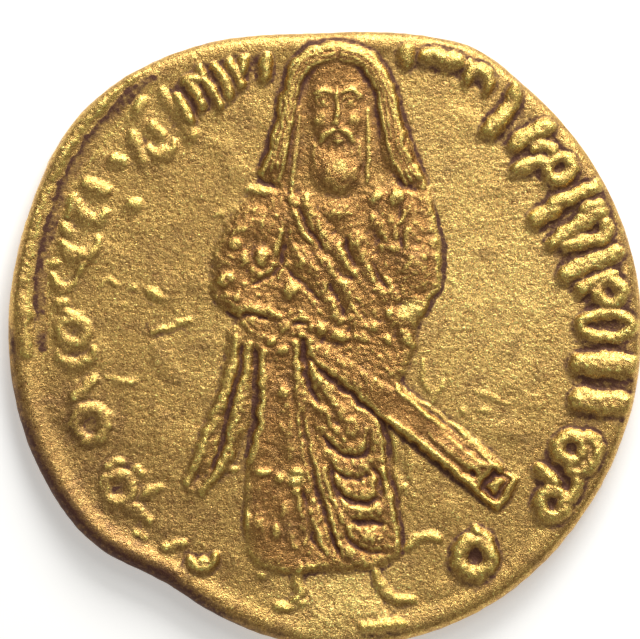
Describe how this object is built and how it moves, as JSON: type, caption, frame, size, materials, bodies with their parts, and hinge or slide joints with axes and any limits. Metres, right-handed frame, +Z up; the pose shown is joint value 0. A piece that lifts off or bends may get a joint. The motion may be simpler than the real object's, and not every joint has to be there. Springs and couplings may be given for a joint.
{
  "type": "gold coin",
  "caption": "Struck gold coin with a standing robed figure and sword inside a ring of plain strokes, on a worn irregular flan, lying figure up.",
  "frame": {"origin": "on the surface the coin lies on, under the middle of the coin's box", "axes": "+Z up through the coin's thickness, out of the figure's side; +Y towards the figure's head; +X to the viewer's right as the figure is looked at"},
  "size_m": [0.0196, 0.019, 0.0012],
  "materials": {
    "gold": "worn struck gold, granular, with dark dirt in the recesses"
  },
  "bodies": {
    "root": {"coin": "gold"}
  },
  "joints": []
}
